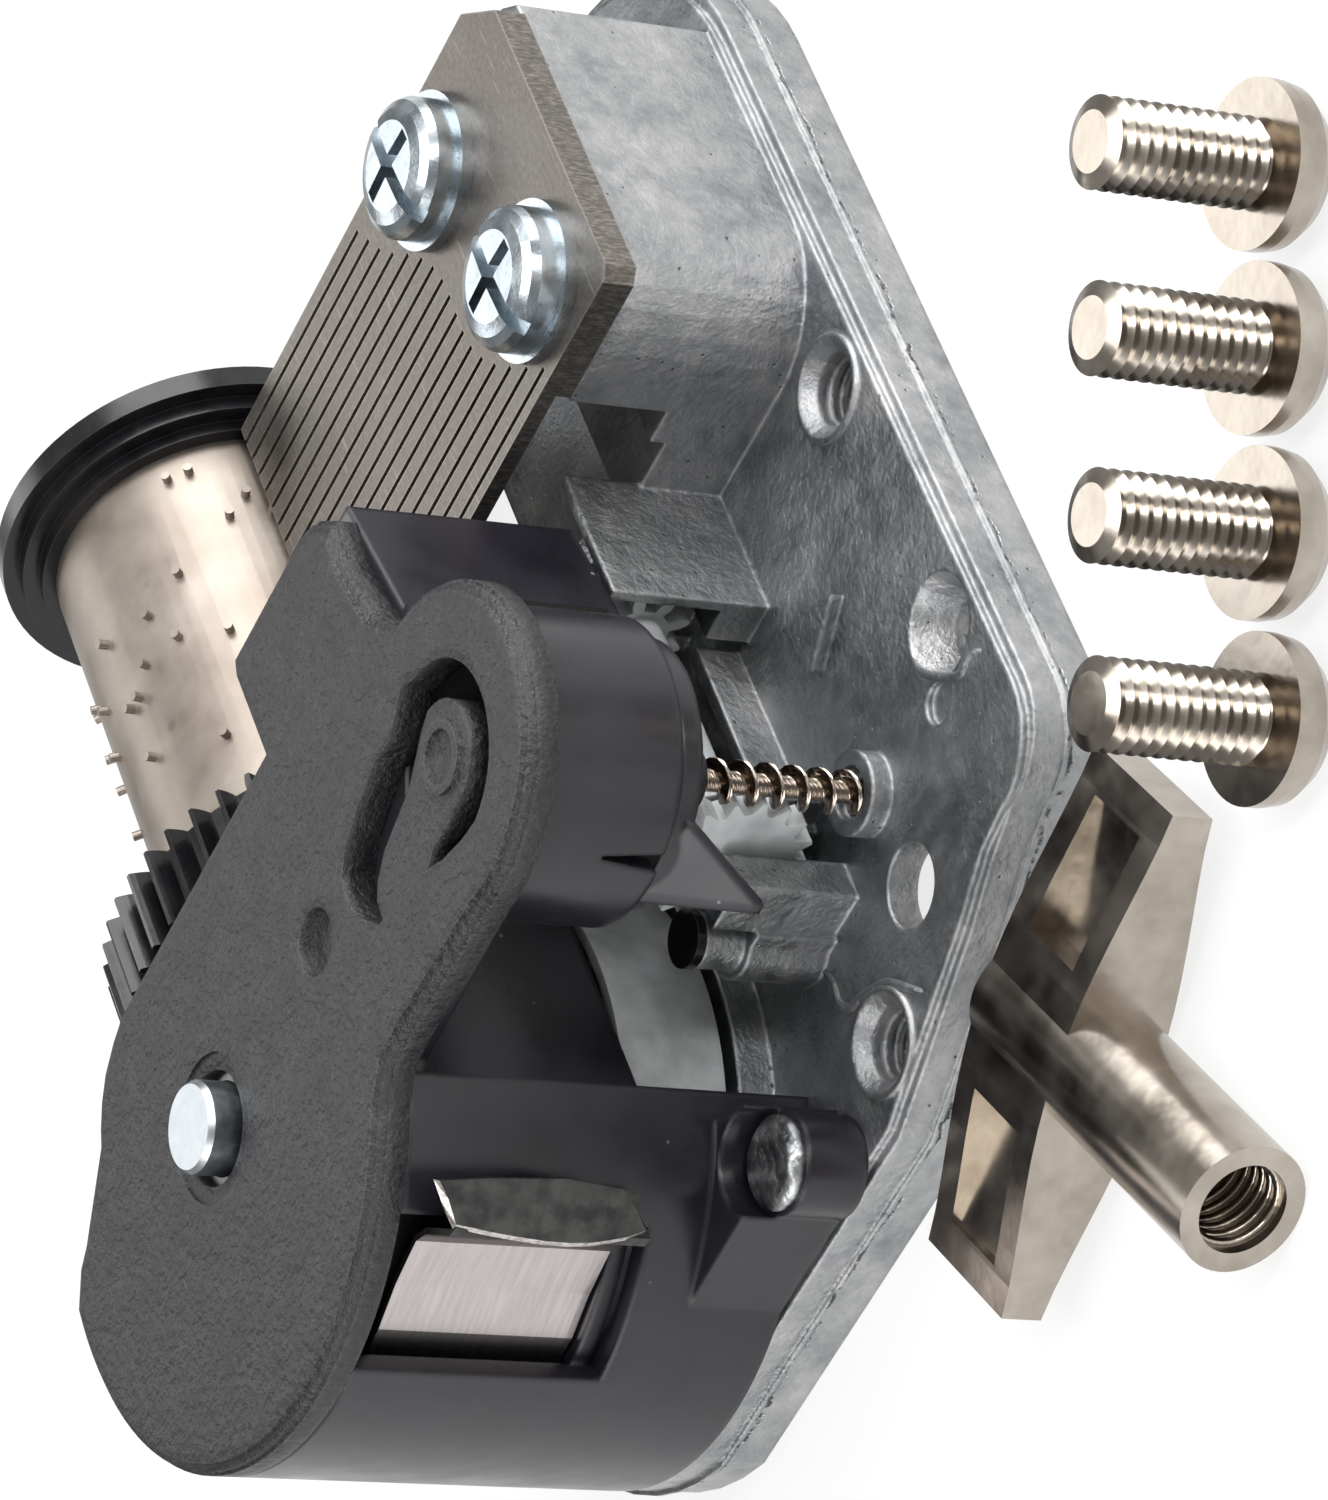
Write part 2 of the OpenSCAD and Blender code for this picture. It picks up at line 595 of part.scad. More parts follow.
// ---------- winding arbor and drive wheel ----------

module winding_arbor() {
    color("silver") {
        rod_z([0.3, well_h - relief_l], arbor_x, arbor_y, thread_r);
        rod_z([well_h - relief_l - 0.1, well_h + 0.1], arbor_x, arbor_y, thread_r - 0.3);
        rod_z([well_h, spring_z[0]], arbor_x, arbor_y, arbor_r);
        rod_z([spring_z[0], spring_z[1] + 0.1], arbor_x, arbor_y, hub_r);
        rod_z([spring_z[1], arbor_top - 0.2], arbor_x, arbor_y, arbor_r);
        translate([arbor_x, arbor_y, arbor_top - 0.2])
            cylinder(h = 0.2, r1 = arbor_r, r2 = arbor_r - 0.15, $fn = fine);
    }
}

// black bush between the arbor and the cover
module arbor_collar() {
    color("#2a2a2c") difference() {
        union() {
            rod_z([cover_z - 0.1, cover_top - 0.45], arbor_x, arbor_y, collar_r);
            rod_z([cover_z - 0.5, cover_z], arbor_x, arbor_y, hub_r - 0.1);
        }
        rod_z([15, 21], arbor_x, arbor_y, arbor_r + run);
    }
}

module drive_wheel() {
    pitch_z = axis_z - drive_r;
    color("whitesmoke") difference() {
        union() {
            rod_z([crown_z, 6.0], arbor_x, arbor_y, crown_r);
            difference() {
                rod_z([crown_z, pitch_z - 0.55], arbor_x, arbor_y, crown_r);
                rod_z([6.0, 10], arbor_x, arbor_y, 7.6);
            }
            difference() {
                rod_z([crown_z, 8.95], arbor_x, arbor_y, crown_r);
                rod_z([6, 10], arbor_x, arbor_y, crown_r - 0.4);
            }
            rod_z([crown_z, 8.6], arbor_x, arbor_y, 3.3);
            // crown teeth
            for (i = [0 : n_crown - 1])
                translate([arbor_x, arbor_y, 0]) rotate([0, 0, 360 * i / n_crown + crown_turn])
                    translate([7.75, 0, pitch_z - 0.6]) rotate([90, 0, 90]) linear_extrude(1.3)
                        polygon([[-0.36, 0], [0.36, 0], [0.2, 0.6],
                            [0.08, 0.95], [-0.08, 0.95], [-0.2, 0.6]]);
        }
        rod_z([0, 10], arbor_x, arbor_y, arbor_r + run);
        rod_z([6.4, 10], arbor_x, arbor_y, 2.55);
    }
}

// wrap spring that lets the key turn the arbor one way only
module clutch_spring() {
    color("silver") for (i = [0 : 4])
        translate([arbor_x, arbor_y, 6.62 + 0.4 * i])
            rotate_extrude($fn = fine) translate([2.18, 0]) circle(0.19, $fn = 16);
}

// ---------- cylinder ----------

// tune written as a rule: a wandering melody, a bass note every fourth step
function melody(j) = max(0, round(5.5 + 4 * sin(j * 37) + 2.2 * sin(j * 101)));
function bass(j) = 13 + (j * 3) % 5;

module tune_pin(k, a) {
    translate([tooth_x(k), axis_y, axis_z]) rotate([a, 0, 0])
        translate([0, 0, tube_r - tube_t / 2]) cylinder(h = tube_t / 2 + pin_h, r = pin_r, $fn = 16);
}

module cylinder_tube() {
    color("tan") {
        difference() {
            rod_x([tube_x0, tube_x1], axis_y, axis_z, tube_r);
            rod_x([tube_x0 - 1, tube_x1 + 1], axis_y, axis_z, tube_r - tube_t);
        }
        for (j = [0 : 43]) tune_pin(melody(j), j * 8);
        for (j = [0 : 4 : 43]) tune_pin(bass(j), j * 8 + 4);
        for (j = [0 : 6 : 43]) tune_pin(10 + j % 3, j * 8 + 2);
    }
}

module flange_cap() {
    color("#1c1c1e") difference() {
        union() {
            rod_x([tube_x1 - 2, tube_x1], axis_y, axis_z, tube_r - tube_t);
            rod_x([tube_x1, tube_x1 + 0.6], axis_y, axis_z, tube_r + 0.5);
            rod_x([tube_x1 + 0.5, tube_x1 + 1.2], axis_y, axis_z, tube_r + 1.1);
            rod_x([tube_x1 + 1.1, tube_x1 + 2], axis_y, axis_z, tube_r + 1.7);
        }
        rod_x([tube_x1 - 3, tube_x1 + 3], axis_y, axis_z, shaft_r);
        rod_x([tube_x1 + 1.5, tube_x1 + 3], axis_y, axis_z, tube_r - 0.6);
    }
}

module cylinder_gear() {
    color("#1c1c1e") difference() {
        union() {
            translate([0, axis_y, axis_z]) along_x(gear_w)
                polygon(gear_outline(n_gear, gear_r, gear_r + mod, gear_r - 1.15 * mod, play, 0));
            rod_x([tube_x0, 0], axis_y, axis_z, tube_r - tube_t);
            translate([0, axis_y, axis_z]) along_x([-5.8, -5.25])
                polygon(gear_outline(n_drive, drive_r, drive_r + 0.8 * crown_mod,
                    drive_r - 1.2 * crown_mod, 0.55, 0));
        }
        difference() {
            rod_x([-6, -3.2], axis_y, axis_z, 7.6);
            rod_x([-5.3, -3], axis_y, axis_z, 1.35);
            translate([0, axis_y, axis_z]) along_x([-6.5, -5.24])
                polygon(gear_outline(n_drive, drive_r, drive_r + 0.8 * crown_mod,
                    drive_r - 1.2 * crown_mod, 0.55, 0));
        }
        rod_x([-8, 2], axis_y, axis_z, shaft_r);
    }
}

module cylinder_shaft() {
    color("silver") rod_x([-6.6, post_x + 1.7], axis_y, axis_z, shaft_r);
}

// ---------- governor train ----------

theta_gi = atan2(id_z - axis_z, id_y - axis_y);
theta_ip = atan2(ww_z - id_z, ww_y - id_y);
idler_phase = mate(theta_gi, n_gear, 0, n_idler);
pinion_phase = mate(theta_ip, n_idler, idler_phase, n_pinion);

module idler_gear() {
    color("ivory") difference() {
        spur(n_idler, idler_r, train_w, id_y, id_z, idler_phase);
        rod_x([-8, 2], id_y, id_z, 0.5);
    }
}

module idler_shaft() {
    color("silver") rod_x([-6.6, -0.6], id_y, id_z, 0.5);
}

module worm_wheel() {
    color("white") difference() {
        union() {
            spur(n_pinion, pinion_r, train_w, ww_y, ww_z, pinion_phase);
            rod_x([-13.9, train_w[0] + 0.1], ww_y, ww_z, 0.95);
            translate([0, ww_y, ww_z]) along_x([gov_x - 0.45, gov_x + 0.45])
                polygon([for (i = [0 : n_worm - 1]) for (q = [[-0.30, -0.42], [-0.12, 0.0], [-0.07, 0.14],
                        [0.07, 0.14], [0.12, 0.0], [0.30, -0.42]])
                    let (a = 180 + 360 * i / n_worm, r = wheel_r + q[1])
                    [r * cos(a) - q[0] * sin(a), r * sin(a) + q[0] * cos(a)]]);
        }
        rod_x([-16, 2], ww_y, ww_z, 0.5);
        // gap where the bracket stands between wheel and pinion
        rod_x([-13.0, -11.4], ww_y, ww_z, 2);
    }
}

module worm_wheel_shaft() {
    color("silver") rod_x([gov_x - 1.6, -0.6], ww_y, ww_z, 0.5);
}

// cross-section of the worm: a core with one thread lobe
function worm_radius(a) = abs(a) > 74 ? core_r
    : abs(a) < 26 ? worm_r : worm_r - (worm_r - core_r) * (abs(a) - 26) / 48;

worm_z = [3.75, 9.7];

module governor_worm() {
    turns = (worm_z[1] - worm_z[0]) / lead;
    start = 90 - 360 * (ww_z + lead / 2 - worm_z[0]) / lead;
    color("tan") {
        rod_z([2.2, worm_z[0]], gov_x, gov_y, 0.45);
        translate([gov_x, gov_y, worm_z[0]])
            linear_extrude(worm_z[1] - worm_z[0], twist = -360 * turns, slices = ceil(turns * 12))
                polygon([for (i = [0 : 29]) let (a = -180 + 12 * i)
                    worm_radius(a) * [cos(a + start), sin(a + start)]]);
        rod_z([worm_z[1], cover_top - 0.4], gov_x, gov_y, 0.5);
    }
}

// thin wing swept down from the disc to its tip
module fan_wing(side) {
    translate([gov_x, gov_y, 0]) rotate([0, 0, side]) hull() {
        translate([fan_r - 0.55, 1.5, 12.35]) cube([0.3, 0.5, 0.3]);
        translate([wing_r - 0.35, -0.3, 9.4]) cube([0.25, 0.4, 0.3]);
        translate([fan_r - 0.4, -1.5, 12.6]) cube([0.3, 0.5, 0.45]);
    }
}

module governor_fan() {
    color("#333336") {
        difference() {
            union() {
                rod_z([10.1, 12.4], gov_x, gov_y, 1.1);
                rod_z([12.3, 13.1], gov_x, gov_y, fan_r);
            }
            rod_z([9, 15], gov_x, gov_y, 0.5);
        }
        fan_wing(0);
        fan_wing(180);
    }
}

// ---------- loose pieces ----------

key_turn = 20;
// the near wing tip lies beside the screws
key_tip = [-27.02, -23.06];
key_at = key_tip + wing_l / 2 * [-sin(key_turn), cos(key_turn)];
mount_at = [-26.4, -26.9];
mount_head_r = 2.75;
mount_step = 2 * mount_head_r + 0.35;
mount_turn = -37.5;

module winding_key() {
    half = wing_l / 2;
    h = 5.2;
    color("gainsboro") translate([key_at[0], key_at[1], stem_r]) rotate([0, 0, key_turn]) difference() {
        union() {
            // lens-shaped bar, thickest at the stem
            rotate([90, 0, -90]) translate([0, 0, -h])
                linear_extrude(h)
                    polygon(concat(
                        [for (i = [-8 : 8]) [half * i / 8, 0.75 + 1.15 * pow(cos(90 * i / 8), 1.4)]],
                        [for (i = [8 : -1 : -8]) [half * i / 8, -0.75 - 1.15 * pow(cos(90 * i / 8), 1.4)]]));
            rod_x([-stem_l, h], 0, 0, stem_r);
        }
        // pockets in both faces, either side of the stem
        for (s = [-1, 1]) for (f = [-1, 1]) translate([1.1, s * 2.9, f * 2.0])
            scale([1, s, f]) translate([0, 0, -1.3]) cube([h - 2.2, half - 4.2, 3]);
        rod_x([-stem_l - 1, 1], 0, 0, thread_r + run);
    }
}

module mounting_screws() {
    n = round(mount_l / 0.5);
    color("silver") for (i = [0 : 3])
        translate([mount_at[0] + i * mount_step * cos(mount_turn),
            mount_at[1] + i * mount_step * sin(mount_turn), 0]) difference() {
            rotate_extrude($fn = fine)
                polygon(concat(
                    [[0, 0], [1.6, 0.05], [2.2, 0.3], [mount_head_r - 0.1, 0.85], [mount_head_r, 1.4],
                     [mount_head_r, 1.9], [1.25, 1.9]],
                    [for (k = [0 : n - 1]) for (q = [[1.22, 0.05], [1.5, 0.3]]) [q[0], 1.9 + k * 0.5 + q[1]]],
                    [[1.0, 1.9 + mount_l], [0, 1.9 + mount_l]]));
            translate([-1.3, -0.25, -0.5]) cube([2.6, 0.5, 1.5]);
            translate([-0.25, -1.3, -0.5]) cube([0.5, 2.6, 1.5]);
        }
}

base_plate();
comb();
tuning_leads();
comb_washers();
comb_screws();
spring_housing();
housing_rivets();
top_cover();
post_cap();
mainspring();
winding_arbor();
arbor_collar();
drive_wheel();
clutch_spring();
cylinder_tube();
flange_cap();
cylinder_gear();
cylinder_shaft();
idler_gear();
idler_shaft();
worm_wheel();
worm_wheel_shaft();
governor_worm();
governor_fan();
winding_key();
mounting_screws();
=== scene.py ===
import bmesh
import bpy
import json
import math
import random
from mathutils import Matrix, Vector


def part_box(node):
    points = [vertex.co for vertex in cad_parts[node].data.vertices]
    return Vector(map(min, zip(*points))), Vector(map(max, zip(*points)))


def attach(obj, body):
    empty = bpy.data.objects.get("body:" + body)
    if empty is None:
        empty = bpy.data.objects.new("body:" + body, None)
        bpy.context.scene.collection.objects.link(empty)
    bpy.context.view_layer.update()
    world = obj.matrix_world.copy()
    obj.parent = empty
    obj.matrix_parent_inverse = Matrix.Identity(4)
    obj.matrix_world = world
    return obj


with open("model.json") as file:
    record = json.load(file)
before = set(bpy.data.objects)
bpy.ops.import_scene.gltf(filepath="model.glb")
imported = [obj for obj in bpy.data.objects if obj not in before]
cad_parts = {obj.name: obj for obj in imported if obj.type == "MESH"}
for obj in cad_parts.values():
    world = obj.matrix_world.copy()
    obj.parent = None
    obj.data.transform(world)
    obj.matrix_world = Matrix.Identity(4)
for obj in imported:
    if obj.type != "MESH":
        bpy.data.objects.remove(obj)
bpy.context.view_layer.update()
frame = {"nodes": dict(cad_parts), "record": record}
nodes = frame["nodes"]
MM = 0.001

# axis and radius of the mainspring drum, mm
drum_low, drum_high = (Vector(corner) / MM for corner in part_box("drive_wheel"))
DRUM_AXIS = Vector(((drum_low.x + drum_high.x) / 2, (drum_low.y + drum_high.y) / 2, 0.0))
DRUM_RADIUS = 11.6
# top of the ridge that the die leaves round the plate's edge, and top of the plate, mm
FLASH_TOP = 1.7
PLATE_TOP = 3.2
# a point well inside the plate's outline, mm
PLATE_MIDDLE = Vector((-5.0, 0.0, 0.0))
# M3 thread: pitch, and depth of the ridge shown in a tapped hole, mm
THREAD_PITCH = 0.5
THREAD_DEPTH = 0.2
# facets of a thread ridge in one turn
THREAD_FACETS = 32
# floor board: half its width, and how far it lies below the underside, mm
FLOOR_REACH = 900
FLOOR_DROP = 0.02
# share of plain white that the floor shows to the camera and in reflections
FLOOR_WHITE = 0.8
# strength of the grey world that lights the piece
WORLD_FILL = 0.3


# ---------------------------------------------------------------- shading helpers

def linear(hex_colour):
    """sRGB hex to the linear RGBA that shaders use."""
    channels = [int(hex_colour[i:i + 2], 16) / 255 for i in (1, 3, 5)]
    return tuple(c / 12.92 if c <= 0.04045 else ((c + 0.055) / 1.055) ** 2.4
                 for c in channels) + (1.0,)


def add(tree, kind, settings=None, **links):
    """One node, its settings and what its sockets take: a value or another socket."""
    node = tree.nodes.new(kind)
    for name, value in (settings or {}).items():
        setattr(node, name, value)
    for name, value in links.items():
        key = int(name[1:]) if name[0] == "i" and name[1:].isdigit() else name.replace("_", " ")
        if isinstance(value, bpy.types.NodeSocket):
            tree.links.new(value, node.inputs[key])
        else:
            node.inputs[key].default_value = value
    return node


def new_material(name):
    """A bare material with one Principled shader, and its object-space coordinates in millimetres."""
    mat = bpy.data.materials.new(name)
    mat.use_nodes = True
    tree = mat.node_tree
    shader = tree.nodes["Principled BSDF"]
    place = add(tree, "ShaderNodeTexCoord").outputs["Object"]
    scaled = add(tree, "ShaderNodeVectorMath", {"operation": "SCALE"}, i0=place, Scale=1000.0)
    return mat, tree, shader, scaled.outputs[0]


def ramp(tree, factor, stops):
    """Colour ramp from (position, hex) pairs."""
    node = add(tree, "ShaderNodeValToRGB", Fac=factor)
    band = node.color_ramp
    while len(band.elements) < len(stops):
        band.elements.new(0.5)
    for element, (place, colour) in zip(band.elements, stops):
        element.position = place
        element.color = linear(colour)
    return node.outputs["Color"]


def fit(tree, value, low, high, to_low, to_high):
    """Map low..high to to_low..to_high, clamped."""
    return add(tree, "ShaderNodeMapRange", i0=value, i1=low, i2=high, i3=to_low, i4=to_high).outputs[0]


def noise(tree, place, per_mm, detail=4.0, rough=0.55, stretch=(1, 1, 1)):
    """Noise with about per_mm cells in a millimetre, stretched along the axes."""
    if stretch != (1, 1, 1):
        place = add(tree, "ShaderNodeMapping", i0=place, Scale=stretch).outputs[0]
    return add(tree, "ShaderNodeTexNoise", Vector=place, Scale=per_mm, Detail=detail,
               Roughness=rough).outputs[0]


def bump(tree, shader, height, depth_mm, strength=1.0, soften_mm=0.0):
    """Relief of depth_mm; soften_mm also blends the shading over steps and corners of that size."""
    node = add(tree, "ShaderNodeBump", Height=height, Distance=depth_mm * MM, Strength=strength)
    if soften_mm:
        rounded = add(tree, "ShaderNodeBevel", {"samples": 6}, Radius=soften_mm * MM)
        tree.links.new(rounded.outputs[0], node.inputs["Normal"])
    tree.links.new(node.outputs[0], shader.inputs["Normal"])


def join_math(tree, kind, first, second, third=0.0):
    """One arithmetic node on up to three values or sockets."""
    return add(tree, "ShaderNodeMath", {"operation": kind}, i0=first, i1=second, i2=third).outputs[0]


def blend(tree, factor, low, high):
    """Colour mix of two sockets or hex colours."""
    low, high = (linear(c) if isinstance(c, str) else c for c in (low, high))
    return add(tree, "ShaderNodeMixRGB", Fac=factor, Color1=low, Color2=high).outputs[0]


def sharp_edge_mask(tree, radius_mm, sharp=0.96, soft=0.80):
    """1 on sharp outer and inner corners, 0 on open faces."""
    rounded = add(tree, "ShaderNodeBevel", {"samples": 4}, Radius=radius_mm * MM).outputs[0]
    flat = add(tree, "ShaderNodeNewGeometry").outputs["Normal"]
    dot = add(tree, "ShaderNodeVectorMath", {"operation": "DOT_PRODUCT"}, i0=rounded, i1=flat)
    return fit(tree, dot.outputs["Value"], sharp, soft, 0.0, 1.0)


def facing_up(tree):
    """1 where a face looks up or down, 0 on upright walls."""
    normal = add(tree, "ShaderNodeNewGeometry").outputs["True Normal"]
    up = add(tree, "ShaderNodeSeparateXYZ", Vector=normal).outputs[2]
    return fit(tree, join_math(tree, "ABSOLUTE", up, 0.0), 0.5, 0.9, 0.0, 1.0)


def specks(tree, place, per_mm, size, share=0.35):
    """Scattered small spots: 1 inside a spot, 0 elsewhere, on a share of the cells."""
    cells = add(tree, "ShaderNodeTexVoronoi", Vector=place, Scale=per_mm)
    inside = fit(tree, cells.outputs["Distance"], size, size * 0.6, 0.0, 1.0)
    pick = add(tree, "ShaderNodeSeparateXYZ", Vector=cells.outputs["Color"]).outputs[0]
    chosen = join_math(tree, "LESS_THAN", pick, share)
    return join_math(tree, "MULTIPLY", inside, chosen)


def plug(tree, shader, **sockets):
    """Set or link Principled inputs by name, with underscores for spaces."""
    for name, value in sockets.items():
        socket = shader.inputs[name.replace("_", " ")]
        if isinstance(value, bpy.types.NodeSocket):
            tree.links.new(value, socket)
        else:
            socket.default_value = linear(value) if isinstance(value, str) else value


# ---------------------------------------------------------------- finishes

def clouded_metal(name, clouds, stops, rough, relief, metallic=1.0):
    """Metal with one noise behind its tint, its roughness between two limits, and its relief."""
    mat, tree, shader, mm = new_material(name)
    cloud = noise(tree, mm, *clouds)
    plug(tree, shader, Base_Color=ramp(tree, cloud, stops), Metallic=metallic,
         Roughness=fit(tree, cloud, 0.3, 0.7, *rough))
    bump(tree, shader, cloud, *relief)
    return mat


def die_cast_zinc():
    """Zinc die casting: cloudy grey skin with cold-flow streaks, blue-grey stains, pits, rubbed edges
    lightened also as a painted highlight, and painted shade in patches on faces that look up or down.
    """
    mat, tree, shader, mm = new_material("die_cast_zinc")
    cloud = noise(tree, mm, 0.22, 6.0, 0.66)
    flow = noise(tree, mm, 1.5, 6.0, 0.7, (1.0, 0.6, 1.0))
    mixed = join_math(tree, "MULTIPLY_ADD", flow, 0.35, join_math(tree, "MULTIPLY", cloud, 0.65))
    tint = ramp(tree, mixed, [(0.34, "#86898c"), (0.46, "#a0a2a3"), (0.55, "#b1b1b2"), (0.68, "#c7c6c4")])
    # painted shade: faces that look up or down are darkened towards #5f656a, in patches
    level_face_shade = fit(tree, noise(tree, mm, 0.26, 6.0, 0.62), 0.30, 0.70, 0.25, 0.95)
    tint = blend(tree, join_math(tree, "MULTIPLY", level_face_shade, facing_up(tree)), tint, "#5f656a")
    stain = fit(tree, noise(tree, mm, 0.3, 5.0, 0.6), 0.57, 0.72, 0.0, 0.5)
    tint = blend(tree, stain, tint, "#585e6a")
    pits = specks(tree, mm, 1.7, 0.13, 0.3)
    tint = blend(tree, join_math(tree, "MULTIPLY", pits, 0.7), tint, "#34373b")
    lap = lap_line(tree, mm)
    tint = blend(tree, join_math(tree, "MULTIPLY", lap, 0.9), tint, "#35383b")
    # sharp edges lightened towards #d0d0ce: partly wear, partly a painted edge highlight
    edges = sharp_edge_mask(tree, 0.18)
    edge_lightening = join_math(tree, "MULTIPLY", edges, fit(tree, flow, 0.4, 0.64, 0.0, 0.55))
    tint = blend(tree, edge_lightening, tint, "#d0d0ce")
    rough = join_math(tree, "SUBTRACT", fit(tree, flow, 0.3, 0.7, 0.28, 0.5),
                      join_math(tree, "MULTIPLY", edge_lightening, 0.16))
    plug(tree, shader, Base_Color=tint, Metallic=0.95, Roughness=rough)
    grain = noise(tree, mm, 3.4, 5.0, 0.62)
    wave = join_math(tree, "MULTIPLY_ADD", cloud, 1.6, grain)
    wave = join_math(tree, "MULTIPLY_ADD", pits, -0.5, wave)
    wave = join_math(tree, "MULTIPLY_ADD", lap, -1.2, wave)
    bump(tree, shader, wave, 0.12, 0.65, 0.25)
    return mat


def lap_line(tree, mm):
    """Broken dark seam along the plate's edge, where the two streams of metal met."""
    height = add(tree, "ShaderNodeSeparateXYZ", Vector=mm).outputs[2]
    sway = fit(tree, noise(tree, mm, 0.6, 4.0, 0.7, (1.0, 1.0, 0.2)), 0.3, 0.7, -0.22, 0.22)
    off = join_math(tree, "ABSOLUTE", join_math(tree, "SUBTRACT", height, join_math(
        tree, "ADD", sway, FLASH_TOP - 0.25)), 0.0)
    line = fit(tree, off, 0.05, 0.13, 1.0, 0.0)
    patch = fit(tree, noise(tree, mm, 1.1, 4.0, 0.7), 0.46, 0.54, 0.0, 1.0)
    upright = fit(tree, facing_up(tree), 0.0, 1.0, 1.0, 0.0)
    return join_math(tree, "MULTIPLY", join_math(tree, "MULTIPLY", line, patch), upright)


def ground_comb_steel():
    """Hardened comb steel: warm grey face with fine grain and stray scratches, torn on its sides, its edges
    lightened by wear and by a painted highlight.
    """
    mat, tree, shader, mm = new_material("ground_comb_steel")
    grain = noise(tree, mm, 4.5, 3.0, 0.6)
    cloud = noise(tree, mm, 0.25, 3.0)
    scratch = fit(tree, noise(tree, mm, 0.5, 3.0, 0.5, (1.0, 14.0, 1.0)), 0.62, 0.70, 0.0, 1.0)
    face = ramp(tree, join_math(tree, "MULTIPLY_ADD", grain, 0.4, join_math(tree, "MULTIPLY", cloud, 0.6)),
                [(0.36, "#67625d"), (0.52, "#77726c"), (0.68, "#898480")])
    face = blend(tree, join_math(tree, "MULTIPLY", scratch, 0.35), face, "#b3aaa1")
    torn = noise(tree, mm, 4.5, 4.0, 0.7, (2.0, 2.0, 0.6))
    side = ramp(tree, torn, [(0.38, "#64605b"), (0.52, "#7a756f"), (0.66, "#98928b")])
    up = facing_up(tree)
    tint = blend(tree, up, side, face)
    # sharp edges lightened towards #c4bbb1: partly wear, partly a painted edge highlight
    edge_lightening = sharp_edge_mask(tree, 0.12)
    tint = blend(tree, join_math(tree, "MULTIPLY", edge_lightening, 0.6), tint, "#c4bbb1")
    plug(tree, shader, Base_Color=tint, Metallic=1.0, Roughness=fit(tree, cloud, 0.3, 0.7, 0.38, 0.5))
    relief = join_math(tree, "MULTIPLY_ADD", torn, fit(tree, up, 0.0, 1.0, 1.0, 0.0), grain)
    bump(tree, shader, relief, 0.02, 0.5)
    return mat


def moulded_nylon_grain():
    """Black glass-filled nylon: leathery grain, dark pores, edges polished by handling and lightened there as
    a painted sheen.
    """
    mat, tree, shader, mm = new_material("black_nylon_grained")
    leather = noise(tree, mm, 3.4, 3.0, 0.62)
    lumps = noise(tree, mm, 0.9, 2.0, 0.5)
    edge_lightening = sharp_edge_mask(tree, 0.35, 0.97, 0.8)
    tint = ramp(tree, leather, [(0.36, "#19191b"), (0.7, "#252527")])
    # edges lightened towards #454447: polish from handling, and a painted sheen
    tint = blend(tree, join_math(tree, "MULTIPLY", edge_lightening, 0.5), tint, "#454447")
    rough = join_math(tree, "SUBTRACT", fit(tree, lumps, 0.3, 0.7, 0.42, 0.54),
                      join_math(tree, "MULTIPLY", edge_lightening, 0.2))
    plug(tree, shader, Base_Color=tint, IOR=1.53, Roughness=rough)
    relief = join_math(tree, "MULTIPLY_ADD", lumps, 0.8, leather)
    bump(tree, shader, relief, 0.15, 1.0, 0.7)
    return mat


def moulded_nylon_gloss():
    """Violet-black nylon from a polished mould: soft gloss, sink waves, fine handling specks."""
    mat, tree, shader, mm = new_material("black_nylon_polished")
    wave = noise(tree, mm, 0.35, 2.0)
    dust = specks(tree, mm, 0.7, 0.07, 0.25)
    tint = blend(tree, dust, ramp(tree, wave, [(0.35, "#17151b"), (0.65, "#1e1c23")]), "#6f6c74")
    plug(tree, shader, Base_Color=tint, IOR=1.53, Roughness=fit(tree, wave, 0.3, 0.7, 0.24, 0.36))
    bump(tree, shader, join_math(tree, "MULTIPLY_ADD", dust, 0.3, wave), 0.12, 0.25, 0.3)
    return mat


def gear_nylon():
    """Black acetal gear: satin, faint moulding haze, and tooth tips lightened by rubbing and by a painted
    glint.
    """
    mat, tree, shader, mm = new_material("black_acetal_satin")
    haze = noise(tree, mm, 0.8)
    edge_lightening = sharp_edge_mask(tree, 0.1)
    # tooth tips lightened towards #3c3b3e: partly rubbing, partly a painted glint
    tint = blend(tree, join_math(tree, "MULTIPLY", edge_lightening, 0.5),
                 ramp(tree, haze, [(0.35, "#0c0c0e"), (0.65, "#141316")]), "#3c3b3e")
    plug(tree, shader, Base_Color=tint, IOR=1.42, Roughness=fit(tree, haze, 0.3, 0.7, 0.2, 0.3))
    bump(tree, shader, noise(tree, mm, 2.0, 3.0), 0.02, 0.3)
    return mat


def white_acetal():
    """Natural acetal: milky grey white, clouded by flow, light goes a little way in."""
    mat, tree, shader, mm = new_material("natural_acetal")
    cloud = noise(tree, mm, 0.7, 3.0)
    tint = ramp(tree, cloud, [(0.35, "#a9acad"), (0.65, "#c6c9ca")])
    plug(tree, shader, Base_Color=tint, Subsurface_Weight=0.4, Subsurface_Radius=(0.9, 0.9, 0.9),
         Subsurface_Scale=0.0008, IOR=1.48, Roughness=fit(tree, cloud, 0.3, 0.7, 0.3, 0.42))
    bump(tree, shader, cloud, 0.05, 0.3)
    return mat


def drawn_nickel():
    """Nickel-plated brass tube: warm satin champagne, fine drawn rings, soft stains."""
    mat, tree, shader, mm = new_material("nickel_plated_brass")
    rings = noise(tree, mm, 1.0, 5.0, 0.6, (6.0, 0.5, 0.5))
    cloud = noise(tree, mm, 0.35, 4.0)
    tint = ramp(tree, cloud, [(0.3, "#857b72"), (0.55, "#978e85"), (0.75, "#a79f97")])
    spots = specks(tree, mm, 0.5, 0.14, 0.3)
    tint = blend(tree, join_math(tree, "MULTIPLY", spots, 0.5), tint, "#6e6157")
    plug(tree, shader, Base_Color=tint, Metallic=1.0, Roughness=fit(tree, cloud, 0.3, 0.7, 0.40, 0.5))
    bump(tree, shader, rings, 0.012, 0.35)
    return mat


